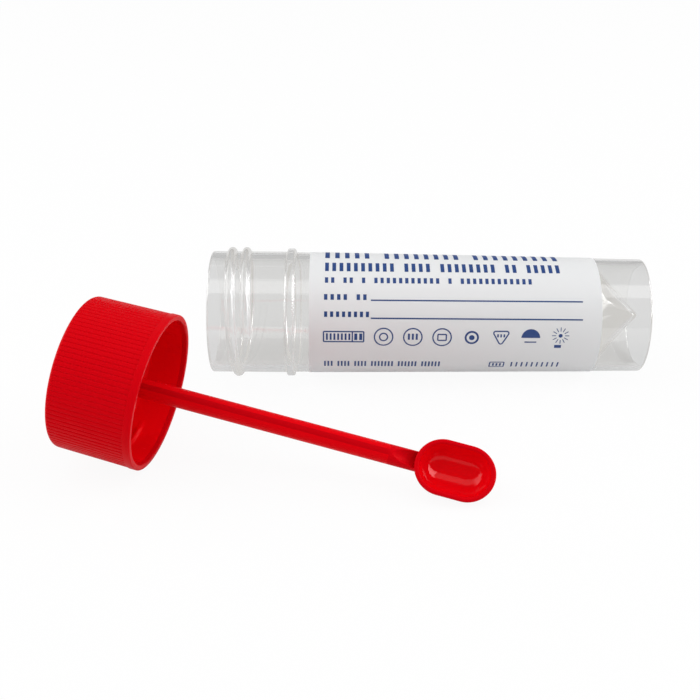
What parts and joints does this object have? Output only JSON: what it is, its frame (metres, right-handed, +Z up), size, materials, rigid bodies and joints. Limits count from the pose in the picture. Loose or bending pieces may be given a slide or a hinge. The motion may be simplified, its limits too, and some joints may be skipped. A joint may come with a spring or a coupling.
{
  "type": "specimen container",
  "caption": "Clear screw-neck specimen tube with conical floor, skirt and paper label, beside its ribbed screw cap with moulded-in sampling spoon.",
  "frame": {"origin": "middle of the underside of the bounding box of the tube and the cap as they lie, on the surface that they rest on", "axes": "+Z up; X along the tube in plan, with its mouth towards -X and its foot towards +X; the cap lies on the -Y side"},
  "size_m": [0.1152, 0.0654, 0.0315],
  "materials": {
    "clear_polystyrene": "clear, glossy, as moulded",
    "paper_label": "white paper label with blue print, low sheen",
    "red_polypropylene": "red, semi-gloss, as moulded"
  },
  "bodies": {
    "root": {"tube": "clear_polystyrene", "label": "paper_label", "cap_with_spoon": "red_polypropylene"}
  },
  "joints": []
}
